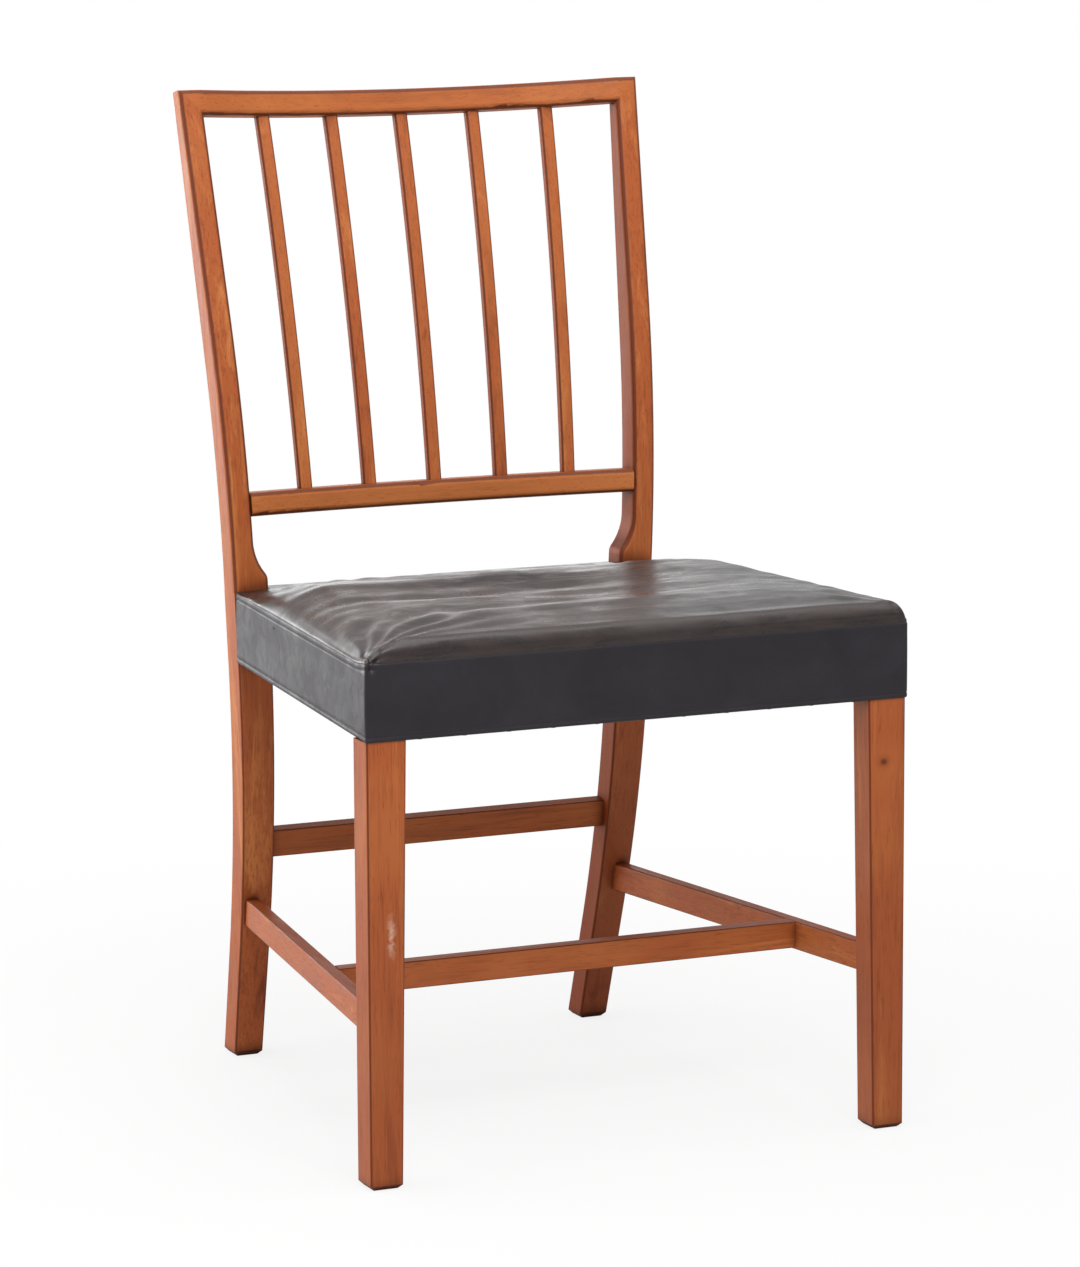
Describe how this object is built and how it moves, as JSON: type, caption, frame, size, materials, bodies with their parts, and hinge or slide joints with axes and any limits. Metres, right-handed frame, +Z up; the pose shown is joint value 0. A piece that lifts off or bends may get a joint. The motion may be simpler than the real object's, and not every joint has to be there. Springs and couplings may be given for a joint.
{
  "type": "slat back chair",
  "caption": "Armless wooden dining chair with a bowed slat back, tapered legs, stretchers and a padded leather seat.",
  "frame": {"origin": "on the floor, under the middle of the chair's box", "axes": "+X to the right seen from the front, +Y to the back, +Z up; the front faces -Y"},
  "size_m": [0.4926, 0.5228, 0.869],
  "materials": {
    "show_wood": "satin",
    "frame_wood": "matte",
    "seat_leather": "satin",
    "pad_stuffing": "matte",
    "webbing_jute": "matte",
    "hessian_cloth": "matte",
    "underside_cloth": "matte",
    "fixing_steel": "satin"
  },
  "bodies": {
    "root": {"back_leather_band": "seat_leather", "back_seat_rail": "frame_wood", "back_slat_1": "show_wood", "back_slat_2": "show_wood", "back_slat_3": "show_wood", "back_slat_4": "show_wood", "back_slat_5": "show_wood", "back_stretcher": "show_wood", "bottom_cloth": "underside_cloth", "bottom_cloth_tacks": "fixing_steel", "corner_block_screws": "fixing_steel", "crest_rail": "show_wood", "cross_stretcher": "show_wood", "cross_webbing_1": "webbing_jute", "cross_webbing_2": "webbing_jute", "cross_webbing_3": "webbing_jute", "front_seat_rail": "frame_wood", "hessian": "hessian_cloth", "leather_tacks": "fixing_steel", "left_back_corner_block": "frame_wood", "left_back_post": "show_wood", "left_crest_tongue": "frame_wood", "left_front_corner_block": "frame_wood", "left_front_leg": "show_wood", "left_seat_rail": "frame_wood", "left_side_stretcher": "show_wood", "long_webbing_1": "webbing_jute", "long_webbing_2": "webbing_jute", "long_webbing_3": "webbing_jute", "lower_back_rail": "show_wood", "right_back_corner_block": "frame_wood", "right_back_post": "show_wood", "right_crest_tongue": "frame_wood", "right_front_corner_block": "frame_wood", "right_front_leg": "show_wood", "right_seat_rail": "frame_wood", "right_side_stretcher": "show_wood", "seat_leather_band": "seat_leather", "seat_pad": "pad_stuffing", "seat_top_leather": "seat_leather", "webbing_tacks": "fixing_steel"}
  },
  "joints": []
}
